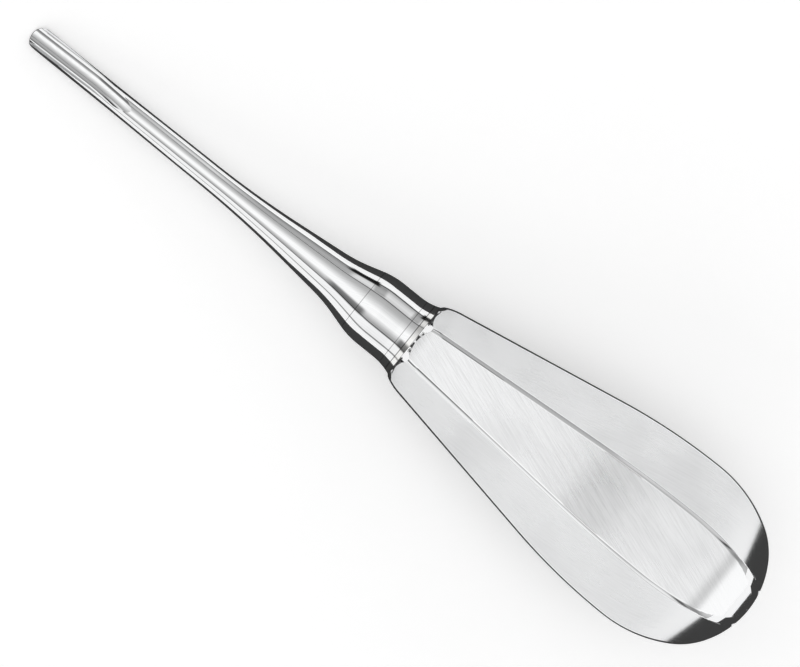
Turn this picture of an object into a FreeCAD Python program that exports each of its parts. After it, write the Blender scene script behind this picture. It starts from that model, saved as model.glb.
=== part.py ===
import FreeCAD, Part
import math
import os

import Sketcher

# A straight dental elevator with a hollow, pear-shaped, eight-sided steel handle.
# It is drawn lying along X: the blade's edge is at X = 0 and the butt of the handle at
# the far end, and the hollow of the blade faces +Z. Lengths are in millimetres. At the
# end the whole tool is laid on a table, on the heel of its blade and on the belly of
# its handle.

# The driving sizes. Lengths along the tool follow one another from the edge backwards.
SIZES = [
    # blade
    ("blade_length", 16.0, "edge to the start of the shank"),
    ("blade_radius", 1.86, "round back of the blade"),
    ("hollow_radius", 1.9, "cross section of the ground hollow"),
    ("hollow_floor", -0.75, "height of the hollow's floor at the edge"),
    ("hollow_slope", 5.2, "degrees the floor rises towards the shank"),
    ("hollow_straight", 12.5, "straight length of the hollow"),
    ("hollow_runout", 31.0, "radius of the hollow's run-out"),
    ("edge_thickness", 0.16, "steel left at the ground edge"),
    ("heel_length", 6.0, "length of the bevel behind the edge"),
    ("corner_left", 1.5, "rounding of the edge on the +Y side"),
    ("corner_right", 1.0, "rounding of the edge on the -Y side"),
    # shank
    ("slim_length", 26.4, "slim stretch behind the blade"),
    ("slim_radius", 2.09, "shank radius at its end"),
    ("swell_radius", 160.0, "long hollow curve into the cone"),
    ("cone_length", 17.85, "slim cone"),
    ("cone_radius", 4.0, "shank radius at its end"),
    ("flare_radius", 25.0, "curve from the slim cone into the steep one"),
    ("steep_length", 4.65, "steep cone that ends at the collar's ground line"),
    # collar
    ("crown_length", 3.4, "curve from the ground line to the cylinder"),
    ("crown_rise", 0.45, "how far that curve rises"),
    ("collar_length", 3.2, "cylinder of the collar"),
    ("collar_radius", 5.8, "cylinder of the collar"),
    ("neck_length", 2.5, "hollow stretch from the cylinder to the flange's rear face"),
    ("neck_sweep", 9.0, "hollow curve that rises to the handle"),
    ("ring_thickness", 0.8, "braze ring between flange and handle"),
    # tang and its lock
    ("tang_radius", 2.5, "round tang inside the handle"),
    ("tang_length", 16.0, "tang behind the flange"),
    ("plug_length", 12.2, "neck plug"),
    ("pin_place", 6.7, "cross pin behind the handle's front face"),
    ("pin_radius", 1.0, "cross pin"),
    ("pin_recess", 0.4, "how far the pin stays below the plug's flats"),
    ("fit_gap", 0.03, "braze or press gap round a piece that sits in another"),
    # handle
    ("flat_count", 8, "ground flats round the handle"),
    ("shoulder_angle", 48.0, "degrees the turned shoulder rises"),
    ("shoulder_rise", 1.3, "how much higher than the neck the flats begin"),
    ("lead_in_length", 3.1, "rounded front end of each flat"),
    ("lead_in_radius", 10.0, "rounding of that front end"),
    ("flat_taper", 10.3, "degrees between a straight flat and the axis"),
    ("widest_flat", 14.2, "axis to flat at the widest place"),
    ("belly_radius", 98.2, "long curve of a flat up to the widest place"),
    ("rear_radius", 22.5, "curve of a flat behind the widest place"),
    ("rear_sweep", 30.0, "degrees that curve turns before the round end"),
    ("land_depth", 0.12, "turned land left on the ridges"),
    ("blank_crown", 1500.0, "slight crown of the turned blank along its taper"),
    ("shell_wall", 1.0, "wall of the hollow handle"),
    ("weld_width", 0.6, "weld between the two half shells"),
]

# Places and sizes worked out from the driving ones.
WORKED_OUT = [
    ("slim_end", "sizes.blade_length + sizes.slim_length"),
    ("cone_end", "slim_end + sizes.cone_length"),
    ("crease_at", "cone_end + sizes.steep_length"),
    ("crease_radius", "sizes.collar_radius - sizes.crown_rise"),
    ("collar_start", "crease_at + sizes.crown_length"),
    ("collar_end", "collar_start + sizes.collar_length"),
    ("flange_end", "collar_end + sizes.neck_length"),
    ("handle_front", "flange_end + sizes.ring_thickness"),
    (
        "flange_radius",
        "sizes.collar_radius + sizes.neck_sweep"
        " - sqrt(sizes.neck_sweep ^ 2 - sizes.neck_length ^ 2)",
    ),
    (
        "neck_radius",
        "sizes.collar_radius + sizes.neck_sweep"
        " - sqrt(sizes.neck_sweep ^ 2 - (sizes.neck_length + sizes.ring_thickness) ^ 2)",
    ),
    ("lead_in_end", "handle_front + sizes.lead_in_length"),
    ("front_flat", "neck_radius + sizes.shoulder_rise"),
    (
        "widest_at",
        "lead_in_end + (sizes.belly_radius * (1 / cos(sizes.flat_taper * 1deg) - 1)"
        " + sizes.widest_flat - front_flat) / tan(sizes.flat_taper * 1deg)",
    ),
    ("ridge_ratio", "1 / cos(180deg / sizes.flat_count)"),
    ("rear_depth", "sizes.rear_radius - sizes.widest_flat"),
    ("flat_end_radius", "sizes.rear_radius - rear_depth / cos(sizes.rear_sweep * 1deg)"),
    ("flat_end_at", "widest_at + rear_depth * tan(sizes.rear_sweep * 1deg)"),
    ("blank_top", "sizes.widest_flat * ridge_ratio - sizes.land_depth"),
    ("blank_rear", "sizes.rear_radius / ridge_ratio"),
    (
        "blank_end_radius",
        "blank_rear - (blank_rear - blank_top) / cos(sizes.rear_sweep * 1deg)",
    ),
    (
        "blank_end_at",
        "widest_at + (blank_rear - blank_top) * tan(sizes.rear_sweep * 1deg)",
    ),
    ("butt", "blank_end_at + blank_end_radius"),
    ("tang_end", "flange_end + sizes.tang_length"),
    ("plug_end", "handle_front + sizes.plug_length"),
    ("pin_at", "handle_front + sizes.pin_place"),
    (
        "pin_reach",
        "front_flat + (pin_at - sizes.pin_radius - lead_in_end) * tan(sizes.flat_taper * 1deg)"
        " - sizes.shell_wall - sizes.fit_gap - sizes.pin_recess",
    ),
    (
        "hollow_axis",
        "sizes.hollow_floor + sizes.hollow_radius / cos(sizes.hollow_slope * 1deg)",
    ),
    ("trough_radius", "sizes.hollow_radius + sizes.edge_thickness"),
    (
        "bevel_slope",
        "(sizes.blade_radius + sizes.hollow_floor - sizes.edge_thickness) / sizes.heel_length",
    ),
    (
        "bevel_axis",
        "sizes.hollow_floor - sizes.edge_thickness + trough_radius * sqrt(1 + bevel_slope ^ 2)",
    ),
    ("edge_reach", "sizes.blade_radius + sizes.edge_thickness"),
]

doc = FreeCAD.newDocument("dental_elevator")
sheet = doc.addObject("Spreadsheet::Sheet", "sizes")
for row, (name, value, meaning) in enumerate(SIZES, start=1):
    sheet.set(f"A{row}", name)
    sheet.set(f"B{row}", str(value))
    sheet.set(f"C{row}", meaning)
    sheet.setAlias(f"B{row}", name)
places = doc.addObject("App::VarSet", "places")
for name, formula in WORKED_OUT:
    places.addProperty("App::PropertyFloat", name)
for name, formula in WORKED_OUT:
    places.setExpression(name, formula)
doc.recompute()
size = {name: float(sheet.get(name)) for name, value, meaning in SIZES}
place = {name: getattr(places, name) for name, formula in WORKED_OUT}

OVERRUN = 1.0  # how far a cutting profile reaches past the steel it cuts


# ---------------------------------------------------------------- sketch helpers

START, END, CENTRE = range(1, 4)
X_AXIS, Y_AXIS = range(-1, -3, -1)
ORIGIN = (X_AXIS, START)
NORMAL = FreeCAD.Vector(0, 0, 1)


def flat_point(point):
    return FreeCAD.Vector(point[0], point[1], 0)


def new_sketch(body, name, plane):
    """A sketch on one of the body's own origin planes."""
    sketch = body.newObject("Sketcher::SketchObject", name)
    support = next(f for f in body.Origin.OriginFeatures if f.Role == plane)
    sketch.AttachmentSupport = [(support, "")]
    sketch.MapMode = "FlatFace"
    return sketch


def square_sketch(body, name, height, height_value, tilt, tilt_value, tilt_axis):
    """A sketch that stands square to a sloping cut in front of the edge, with its origin
    on the cutter's centre."""
    sketch = new_sketch(body, name, "YZ_Plane")
    sketch.AttachmentOffset = FreeCAD.Placement(
        FreeCAD.Vector(0, height_value, -OVERRUN), FreeCAD.Rotation(tilt_axis, tilt_value)
    )
    sketch.setExpression("AttachmentOffset.Base.y", height)
    sketch.setExpression("AttachmentOffset.Rotation.Angle", tilt)
    return sketch


def add_lines(sketch, corners):
    """Lines from corner to corner, each tied to the one before."""
    lines = []
    for start, end in zip(corners, corners[1:]):
        lines.append(sketch.addGeometry(Part.LineSegment(flat_point(start), flat_point(end))))
    for before, after in zip(lines, lines[1:]):
        tie(sketch, "Coincident", before, END, after, START)
    return lines


def add_arc(sketch, centre, start, end):
    """An arc that runs anticlockwise from start to end."""
    radius = math.dist(centre, start)
    first = math.atan2(start[1] - centre[1], start[0] - centre[0])
    last = math.atan2(end[1] - centre[1], end[0] - centre[0])
    if last <= first:
        last += 2 * math.pi
    circle = Part.Circle(flat_point(centre), NORMAL, radius)
    return sketch.addGeometry(Part.ArcOfCircle(circle, first, last))


def add_circle(sketch, centre, radius):
    return sketch.addGeometry(Part.Circle(flat_point(centre), NORMAL, radius))


def tie(sketch, kind, *where):
    sketch.addConstraint(Sketcher.Constraint(kind, *where))


def drive(sketch, formula, kind, *where):
    """A dimension whose value follows the sheet."""
    index = sketch.addConstraint(Sketcher.Constraint(kind, *where))
    sketch.setExpression(f"Constraints[{index}]", formula)


def drive_x(sketch, formula, geometry, point, value):
    drive(sketch, formula, "DistanceX", *ORIGIN, geometry, point, value)


def drive_y(sketch, formula, geometry, point, value):
    drive(sketch, formula, "DistanceY", *ORIGIN, geometry, point, value)


def revolve(body, sketch, name):
    turned = body.newObject("PartDesign::Revolution", name)
    turned.Profile = sketch
    turned.ReferenceAxis = (sketch, ["H_Axis"])
    turned.Angle = 360
    body.Tip = turned


def cut_both_ways(body, sketch, name, length):
    """A pocket that reaches the same distance to both sides of its sketch."""
    pocket = body.newObject("PartDesign::Pocket", name)
    pocket.Profile = sketch
    pocket.SideType = "Symmetric"
    pocket.Type = "Length"
    pocket.setExpression("Length", length)
    body.Tip = pocket
    return pocket


def new_body(name):
    body = doc.addObject("PartDesign::Body", name)
    body.Label = name
    return body


# ---------------------------------------------------------------- geometry helpers

def circles_meet(first_centre, first_radius, second_centre, second_radius):
    """The crossing of two circles that lies to the right of the way from the first
    centre to the second."""
    gap = math.dist(first_centre, second_centre)
    along = (first_radius ** 2 - second_radius ** 2 + gap ** 2) / (2 * gap)
    aside = math.sqrt(first_radius ** 2 - along ** 2)
    unit_x = (second_centre[0] - first_centre[0]) / gap
    unit_y = (second_centre[1] - first_centre[1]) / gap
    return (
        first_centre[0] + along * unit_x + aside * unit_y,
        first_centre[1] + along * unit_y - aside * unit_x,
    )


def on_circle(centre, radius, angle):
    return (centre[0] + radius * math.cos(angle), centre[1] + radius * math.sin(angle))


def rounding(before, corner, after, radius):
    """Centre and ends of the arc that rounds a corner which turns upwards."""
    into = math.atan2(corner[1] - before[1], corner[0] - before[0])
    out = math.atan2(after[1] - corner[1], after[0] - corner[0])
    back = radius * math.tan((out - into) / 2)
    start = (corner[0] - back * math.cos(into), corner[1] - back * math.sin(into))
    end = (corner[0] + back * math.cos(out), corner[1] + back * math.sin(out))
    centre = (start[0] - radius * math.sin(into), start[1] + radius * math.cos(into))
    return centre, start, end


# ---------------------------------------------------------------- handle form

def handle_form(name, inset, inset_value, turn_form):
    """The handle's outer form, or the same form moved inwards by inset: a turned form
    round which the flats are ground."""
    body = new_body(name)
    turn_form(body, name, inset, inset_value)
    doc.recompute()
    turned_volume = body.Shape.Volume
    one_flat = grind_flat(body, name, inset, inset_value)
    flats = body.newObject("PartDesign::PolarPattern", name + "_flats")
    flats.Originals = [one_flat]
    flats.Axis = (next(f for f in body.Origin.OriginFeatures if f.Role == "X_Axis"), [""])
    flats.Angle = 360
    flats.setExpression("Occurrences", "sizes.flat_count")
    body.Tip = flats
    doc.recompute()
    if not body.Shape.Volume < 0.99 * turned_volume:
        raise RuntimeError(f"{name}: the flats cut nothing")
    return body


def turn_pear(body, name, inset, inset_value):
    """Turned pear shape: shoulder, slightly crowned taper, belly and round end. It is a
    little slimmer than the ridges of the flats, so that a narrow turned land stays on
    each ridge and a small round cap at the butt."""
    blank = new_sketch(body, name + "_blank", "XZ_Plane")
    ratio = place["ridge_ratio"]
    shoulder = math.radians(size["shoulder_angle"])
    sweep = math.radians(size["rear_sweep"])
    front = (place["handle_front"], place["neck_radius"] - inset_value / math.cos(shoulder))
    top = (place["widest_at"], place["blank_top"] - inset_value)
    belly = size["belly_radius"] / ratio - inset_value
    belly_centre = (top[0], top[1] - belly)
    rear = place["blank_rear"] - inset_value
    rear_centre = (top[0], top[1] - rear)
    rear_end = on_circle(rear_centre, rear, math.pi / 2 - sweep)
    end_centre = (place["blank_end_at"], 0.0)
    apex = (place["butt"] - inset_value, 0.0)
    crown = size["blank_crown"] - inset_value
    crown_height = place["front_flat"] * ratio - size["land_depth"] - inset_value
    crown_point = (place["lead_in_end"], crown_height)
    crown_centre = circles_meet(crown_point, crown, belly_centre, crown - belly)
    crown_end = on_circle(
        belly_centre,
        belly,
        math.atan2(belly_centre[1] - crown_centre[1], belly_centre[0] - crown_centre[0]),
    )
    # the shoulder line runs on until it meets the crowned taper
    toward = (math.cos(shoulder), math.sin(shoulder))
    from_centre = (front[0] - crown_centre[0], front[1] - crown_centre[1])
    half_b = from_centre[0] * toward[0] + from_centre[1] * toward[1]
    excess = from_centre[0] ** 2 + from_centre[1] ** 2 - crown ** 2
    shoulder_length = -half_b + math.sqrt(half_b ** 2 - excess)
    crown_start = (front[0] + shoulder_length * toward[0], front[1] + shoulder_length * toward[1])

    axis_line, face_line, shoulder_line = add_lines(
        blank, [apex, (front[0], 0.0), front, crown_start]
    )
    crown_arc = add_arc(blank, crown_centre, crown_end, crown_start)
    belly_arc = add_arc(blank, belly_centre, top, crown_end)
    rear_arc = add_arc(blank, rear_centre, rear_end, top)
    end_arc = add_arc(blank, end_centre, apex, rear_end)
    marker = blank.addGeometry(Part.Point(flat_point(crown_point)), True)
    tie(blank, "Coincident", shoulder_line, END, crown_arc, END)
    tie(blank, "Tangent", crown_arc, START, belly_arc, END)
    tie(blank, "Tangent", belly_arc, START, rear_arc, END)
    tie(blank, "Tangent", rear_arc, START, end_arc, END)
    tie(blank, "Coincident", end_arc, START, axis_line, START)
    tie(blank, "PointOnObject", axis_line, START, X_AXIS)
    tie(blank, "PointOnObject", axis_line, END, X_AXIS)
    tie(blank, "PointOnObject", end_arc, CENTRE, X_AXIS)
    tie(blank, "PointOnObject", marker, START, crown_arc)
    tie(blank, "Vertical", face_line)
    drive_x(blank, "places.handle_front", face_line, START, front[0])
    drive_y(
        blank, f"places.neck_radius - {inset} / cos(sizes.shoulder_angle * 1deg)",
        face_line, END, front[1],
    )
    drive(blank, "sizes.shoulder_angle * 1deg", "Angle", shoulder_line, shoulder)
    drive(blank, f"sizes.blank_crown - {inset}", "Radius", crown_arc, crown)
    drive_x(blank, "places.lead_in_end", marker, START, crown_point[0])
    drive_y(
        blank, f"places.front_flat * places.ridge_ratio - sizes.land_depth - {inset}",
        marker, START, crown_point[1],
    )
    drive(blank, f"sizes.belly_radius / places.ridge_ratio - {inset}", "Radius", belly_arc, belly)
    drive_x(blank, "places.widest_at", belly_arc, START, top[0])
    drive_x(blank, "places.widest_at", belly_arc, CENTRE, top[0])
    drive_y(blank, f"places.blank_top - {inset}", belly_arc, START, top[1])
    drive(blank, f"places.blank_rear - {inset}", "Radius", rear_arc, rear)
    drive_x(blank, "places.blank_end_at", end_arc, CENTRE, end_centre[0])
    revolve(body, blank, name + "_turned")


def turn_drum(body, name, inset, inset_value):
    """Plain turned drum for the forms inside the handle, which the flats cut to sharp
    ridges. It starts behind the neck, where the flats are straight."""
    drum = new_sketch(body, name + "_drum", "XZ_Plane")
    front = place["lead_in_end"] + inset_value - size["shell_wall"]
    rear = place["butt"] - inset_value
    wide = 2 * size["widest_flat"]
    axis_line, front_line, drum_line, rear_line = add_lines(
        drum, [(rear, 0.0), (front, 0.0), (front, wide), (rear, wide), (rear, 0.0)]
    )
    tie(drum, "Coincident", rear_line, END, axis_line, START)
    tie(drum, "PointOnObject", axis_line, START, X_AXIS)
    tie(drum, "PointOnObject", axis_line, END, X_AXIS)
    tie(drum, "Vertical", front_line)
    tie(drum, "Vertical", rear_line)
    tie(drum, "Horizontal", drum_line)
    drive_x(drum, f"places.lead_in_end + {inset} - sizes.shell_wall", front_line, START, front)
    drive_y(drum, "2 * sizes.widest_flat", drum_line, START, wide)
    drive_x(drum, f"places.butt - {inset}", axis_line, START, rear)
    revolve(body, drum, name + "_turned")


def grind_flat(body, name, inset, inset_value):
    """One flat, ground through the turned form: all that is above its outline goes."""
    flat = new_sketch(body, name + "_flat", "XZ_Plane")
    taper = math.radians(size["flat_taper"])
    sweep = math.radians(size["rear_sweep"])
    top = (place["widest_at"], size["widest_flat"] - inset_value)
    belly = size["belly_radius"] - inset_value
    belly_centre = (top[0], top[1] - belly)
    rear = size["rear_radius"] - inset_value
    rear_centre = (top[0], top[1] - rear)
    rear_end = on_circle(rear_centre, rear, math.pi / 2 - sweep)
    end_centre = (place["flat_end_at"], 0.0)
    apex = (place["flat_end_at"] + place["flat_end_radius"] - inset_value, 0.0)
    taper_end = on_circle(belly_centre, belly, math.pi / 2 + taper)
    lead_end_height = taper_end[1] - (taper_end[0] - place["lead_in_end"]) * math.tan(taper)
    taper_start = (place["lead_in_end"], lead_end_height)
    lead = size["lead_in_radius"] - inset_value
    lead_centre = on_circle(taper_start, lead, taper - math.pi / 2)
    near = place["handle_front"] - OVERRUN / 2
    far = place["butt"] + 2 * OVERRUN
    above = 3 * size["widest_flat"]
    lead_start = (near, lead_centre[1] + math.sqrt(lead ** 2 - (near - lead_centre[0]) ** 2))

    lead_arc = add_arc(flat, lead_centre, taper_start, lead_start)
    taper_line = add_lines(flat, [taper_start, taper_end])[0]
    belly_arc = add_arc(flat, belly_centre, top, taper_end)
    rear_arc = add_arc(flat, rear_centre, rear_end, top)
    end_arc = add_arc(flat, end_centre, apex, rear_end)
    out_line, far_line, top_line, near_line = add_lines(
        flat, [apex, (far, 0.0), (far, above), (near, above), lead_start]
    )
    tie(flat, "Tangent", lead_arc, START, taper_line, START)
    tie(flat, "Tangent", taper_line, END, belly_arc, END)
    tie(flat, "Tangent", belly_arc, START, rear_arc, END)
    tie(flat, "Tangent", rear_arc, START, end_arc, END)
    tie(flat, "Coincident", end_arc, START, out_line, START)
    tie(flat, "Coincident", near_line, END, lead_arc, END)
    tie(flat, "PointOnObject", out_line, START, X_AXIS)
    tie(flat, "PointOnObject", out_line, END, X_AXIS)
    tie(flat, "PointOnObject", end_arc, CENTRE, X_AXIS)
    tie(flat, "Vertical", far_line)
    tie(flat, "Horizontal", top_line)
    tie(flat, "Vertical", near_line)
    drive(flat, f"sizes.lead_in_radius - {inset}", "Radius", lead_arc, lead)
    drive(flat, "sizes.flat_taper * 1deg", "Angle", taper_line, taper)
    drive_x(flat, "places.lead_in_end", taper_line, START, taper_start[0])
    drive(flat, f"sizes.belly_radius - {inset}", "Radius", belly_arc, belly)
    drive_x(flat, "places.widest_at", belly_arc, CENTRE, top[0])
    drive_x(flat, "places.widest_at", belly_arc, START, top[0])
    drive_y(flat, f"sizes.widest_flat - {inset}", belly_arc, START, top[1])
    drive(flat, f"sizes.rear_radius - {inset}", "Radius", rear_arc, rear)
    drive_x(flat, "places.flat_end_at", end_arc, CENTRE, end_centre[0])
    drive_x(flat, f"places.butt + {2 * OVERRUN}", far_line, START, far)
    drive_x(flat, f"places.handle_front - {OVERRUN / 2}", near_line, START, near)
    drive_y(flat, "3 * sizes.widest_flat", top_line, START, above)
    return cut_both_ways(body, flat, name + "_one_flat", "6 * sizes.widest_flat")


# ---------------------------------------------------------------- shank

def make_shank():
    """Blade, shank, collar and tang: one forging, ground and drilled."""
    body = new_body("shank")
    turn_shank(body)
    doc.recompute()
    turned_volume = body.Shape.Volume
    grind_hollow(body)
    doc.recompute()
    hollowed_volume = body.Shape.Volume
    grind_bevel(body)
    doc.recompute()
    bevelled_volume = body.Shape.Volume
    if not hollowed_volume < turned_volume or not bevelled_volume < hollowed_volume:
        raise RuntimeError("shank: the hollow or the bevel removed nothing")
    round_edge(body)
    drill_pin_hole(body, "tang", "4 * sizes.tang_radius")
    return body


def turn_shank(body):
    outline = new_sketch(body, "shank_outline", "XZ_Plane")
    blade = size["blade_radius"]
    tang = size["tang_radius"]
    blade_end = (size["blade_length"], blade)
    slim_end = (place["slim_end"], size["slim_radius"])
    cone_end = (place["cone_end"], size["cone_radius"])
    crease = (place["crease_at"], place["crease_radius"])
    collar_start = (place["collar_start"], size["collar_radius"])
    collar_end = (place["collar_end"], size["collar_radius"])
    flange = (place["flange_end"], place["flange_radius"])
    tail = place["tang_end"]
    swell_centre, swell_start, swell_end = rounding(
        blade_end, slim_end, cone_end, size["swell_radius"]
    )
    flare_centre, flare_start, flare_end = rounding(slim_end, cone_end, crease, size["flare_radius"])
    crown = (size["crown_length"] ** 2 + size["crown_rise"] ** 2) / (2 * size["crown_rise"])
    crown_centre = (collar_start[0], collar_start[1] - crown)
    neck_centre = (collar_end[0], collar_end[1] + size["neck_sweep"])

    flange_line, tang_line, tail_line, axis_line, edge_line, blade_line, slim_line = add_lines(
        outline,
        [flange, (flange[0], tang), (tail, tang), (tail, 0.0), (0.0, 0.0), (0.0, blade),
         blade_end, swell_start],
    )
    swell_arc = add_arc(outline, swell_centre, swell_start, swell_end)
    cone_line = add_lines(outline, [swell_end, flare_start])[0]
    flare_arc = add_arc(outline, flare_centre, flare_start, flare_end)
    steep_line = add_lines(outline, [flare_end, crease])[0]
    crown_arc = add_arc(outline, crown_centre, collar_start, crease)
    collar_line = add_lines(outline, [collar_start, collar_end])[0]
    neck_arc = add_arc(outline, neck_centre, collar_end, flange)
    slim_corner = outline.addGeometry(Part.Point(flat_point(slim_end)), True)
    cone_corner = outline.addGeometry(Part.Point(flat_point(cone_end)), True)

    tie(outline, "Tangent", slim_line, END, swell_arc, START)
    tie(outline, "Tangent", swell_arc, END, cone_line, START)
    tie(outline, "Tangent", cone_line, END, flare_arc, START)
    tie(outline, "Tangent", flare_arc, END, steep_line, START)
    tie(outline, "Coincident", steep_line, END, crown_arc, END)
    tie(outline, "Tangent", crown_arc, START, collar_line, START)
    tie(outline, "Tangent", collar_line, END, neck_arc, START)
    tie(outline, "Coincident", neck_arc, END, flange_line, START)
    for corner, before, after in (
        (slim_corner, slim_line, cone_line),
        (cone_corner, cone_line, steep_line),
    ):
        tie(outline, "PointOnObject", corner, START, before)
        tie(outline, "PointOnObject", corner, START, after)
    tie(outline, "Coincident", axis_line, END, *ORIGIN)
    for upright in (edge_line, flange_line, tail_line):
        tie(outline, "Vertical", upright)
    for level in (blade_line, collar_line, tang_line, axis_line):
        tie(outline, "Horizontal", level)
    drive_y(outline, "sizes.blade_radius", edge_line, END, blade)
    drive_x(outline, "sizes.blade_length", blade_line, END, blade_end[0])
    drive_x(outline, "places.slim_end", slim_corner, START, slim_end[0])
    drive_y(outline, "sizes.slim_radius", slim_corner, START, slim_end[1])
    drive(outline, "sizes.swell_radius", "Radius", swell_arc, size["swell_radius"])
    drive_x(outline, "places.cone_end", cone_corner, START, cone_end[0])
    drive_y(outline, "sizes.cone_radius", cone_corner, START, cone_end[1])
    drive(outline, "sizes.flare_radius", "Radius", flare_arc, size["flare_radius"])
    drive_x(outline, "places.crease_at", steep_line, END, crease[0])
    drive_y(outline, "places.crease_radius", steep_line, END, crease[1])
    drive_x(outline, "places.collar_start", collar_line, START, collar_start[0])
    drive_y(outline, "sizes.collar_radius", collar_line, START, collar_start[1])
    drive_x(outline, "places.collar_end", collar_line, END, collar_end[0])
    drive(outline, "sizes.neck_sweep", "Radius", neck_arc, size["neck_sweep"])
    drive_x(outline, "places.flange_end", neck_arc, END, flange[0])
    drive_y(outline, "sizes.tang_radius", tang_line, START, tang)
    drive_x(outline, "places.tang_end", tail_line, START, tail)
    revolve(body, outline, "shank_turned")


def grind_hollow(body):
    """Hollow of the blade: a round cutter's path, straight and then running out."""
    hollow = size["hollow_radius"]
    slope = math.radians(size["hollow_slope"])
    runout = size["hollow_runout"]
    start = (-OVERRUN, place["hollow_axis"] - OVERRUN * math.tan(slope))
    straight = size["hollow_straight"]
    straight_end = (straight, start[1] + (straight + OVERRUN) * math.tan(slope))
    runout_centre = on_circle(straight_end, runout, slope + math.pi / 2)
    runout_x = straight + runout / 3
    drop = math.sqrt(runout ** 2 - (runout_x - runout_centre[0]) ** 2)
    path = new_sketch(body, "hollow_path", "XZ_Plane")
    floor_line = add_lines(path, [start, straight_end])[0]
    runout_arc = add_arc(path, runout_centre, straight_end, (runout_x, runout_centre[1] - drop))
    start_height = f"places.hollow_axis - {OVERRUN} * tan(sizes.hollow_slope * 1deg)"
    tie(path, "Tangent", floor_line, END, runout_arc, START)
    drive(path, "sizes.hollow_slope * 1deg", "Angle", floor_line, slope)
    drive(path, f"{OVERRUN}", "DistanceX", floor_line, START, *ORIGIN, OVERRUN)
    drive_y(path, start_height, floor_line, START, start[1])
    drive_x(path, "sizes.hollow_straight", floor_line, END, straight)
    drive(path, "sizes.hollow_runout", "Radius", runout_arc, runout)
    drive_x(path, "sizes.hollow_straight + sizes.hollow_runout / 3", runout_arc, END, runout_x)
    section = square_sketch(
        body, "hollow_section", start_height, start[1],
        "sizes.hollow_slope * 1deg", size["hollow_slope"], FreeCAD.Vector(-1, 0, 0),
    )
    circle = add_circle(section, (0.0, 0.0), hollow)
    tie(section, "Coincident", circle, CENTRE, *ORIGIN)
    drive(section, "sizes.hollow_radius", "Radius", circle, hollow)
    ground = body.newObject("PartDesign::SubtractivePipe", "blade_hollow")
    ground.Profile = section
    ground.Spine = path
    body.Tip = ground


def grind_bevel(body):
    """Bevel of the blade's back: a trough round the hollow, as thick as the edge where
    it starts, that sinks clear of the round back at the heel."""
    slope = place["bevel_slope"]
    trough = place["trough_radius"]
    wide = 2 * trough
    back = square_sketch(
        body, "bevel_section", f"places.bevel_axis + {OVERRUN} * places.bevel_slope",
        place["bevel_axis"] + OVERRUN * slope,
        "atan(places.bevel_slope)", math.degrees(math.atan(slope)), FreeCAD.Vector(1, 0, 0),
    )
    left, right = (-trough, 0.0), (trough, 0.0)
    trough_arc = add_arc(back, (0.0, 0.0), left, right)
    right_wall, right_rim, right_side, bottom, left_side, left_rim, left_wall = add_lines(
        back,
        [right, (trough, wide), (wide, wide), (wide, -wide), (-wide, -wide), (-wide, wide),
         (-trough, wide), left],
    )
    tie(back, "Coincident", trough_arc, CENTRE, *ORIGIN)
    tie(back, "Tangent", trough_arc, END, right_wall, START)
    tie(back, "Tangent", trough_arc, START, left_wall, END)
    for upright in (right_wall, right_side, left_side):
        tie(back, "Vertical", upright)
    for level in (right_rim, bottom, left_rim):
        tie(back, "Horizontal", level)
    drive(back, "places.trough_radius", "Radius", trough_arc, trough)
    drive_x(back, "2 * places.trough_radius", right_side, START, wide)
    drive_y(back, "2 * places.trough_radius", right_side, START, wide)
    drive_y(back, "2 * places.trough_radius", left_rim, START, wide)
    drive(back, "2 * places.trough_radius", "DistanceY", bottom, START, *ORIGIN, wide)
    drive(back, "2 * places.trough_radius", "DistanceX", left_side, START, *ORIGIN, wide)
    bevel = body.newObject("PartDesign::Pocket", "back_bevel")
    bevel.Profile = back
    bevel.Reversed = True
    bevel.Type = "Length"
    bevel.setExpression("Length", f"sizes.heel_length + {3 * OVERRUN}")
    body.Tip = bevel


def round_edge(body):
    """Rounded end of the blade, seen from above."""
    reach = place["edge_reach"]
    left, right = size["corner_left"], size["corner_right"]
    edge = new_sketch(body, "edge_outline", "XY_Plane")
    right_line, front_line, left_line = add_lines(
        edge, [(right, -reach), (-OVERRUN, -reach), (-OVERRUN, reach), (left, reach)]
    )
    left_arc = add_arc(edge, (left, reach - left), (left, reach), (0.0, reach - left))
    edge_line = add_lines(edge, [(0.0, reach - left), (0.0, right - reach)])[0]
    right_arc = add_arc(edge, (right, right - reach), (0.0, right - reach), (right, -reach))
    tie(edge, "Tangent", left_line, END, left_arc, START)
    tie(edge, "Tangent", left_arc, END, edge_line, START)
    tie(edge, "Tangent", edge_line, END, right_arc, START)
    tie(edge, "Tangent", right_arc, END, right_line, START)
    tie(edge, "Vertical", front_line)
    tie(edge, "Horizontal", left_line)
    tie(edge, "PointOnObject", edge_line, START, Y_AXIS)
    tie(edge, "Vertical", edge_line)
    drive_y(edge, "places.edge_reach", left_line, START, reach)
    drive(edge, "places.edge_reach", "DistanceY", right_line, END, *ORIGIN, reach)
    drive(edge, f"{OVERRUN}", "DistanceX", front_line, START, *ORIGIN, OVERRUN)
    drive(edge, "sizes.corner_left", "Radius", left_arc, left)
    drive(edge, "sizes.corner_right", "Radius", right_arc, right)
    cut_both_ways(body, edge, "edge_corners", "6 * sizes.blade_radius")


def drill_pin_hole(body, name, length):
    """The cross hole for the pin, through the tang or the plug."""
    hole = new_sketch(body, name + "_pin_hole", "XZ_Plane")
    circle = add_circle(hole, (place["pin_at"], 0.0), size["pin_radius"] + size["fit_gap"])
    tie(hole, "PointOnObject", circle, CENTRE, X_AXIS)
    drive_x(hole, "places.pin_at", circle, CENTRE, place["pin_at"])
    drive(
        hole, "sizes.pin_radius + sizes.fit_gap",
        "Radius", circle, size["pin_radius"] + size["fit_gap"],
    )
    cut_both_ways(body, hole, name + "_drilled", length)


# ---------------------------------------------------------------- neck

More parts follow.
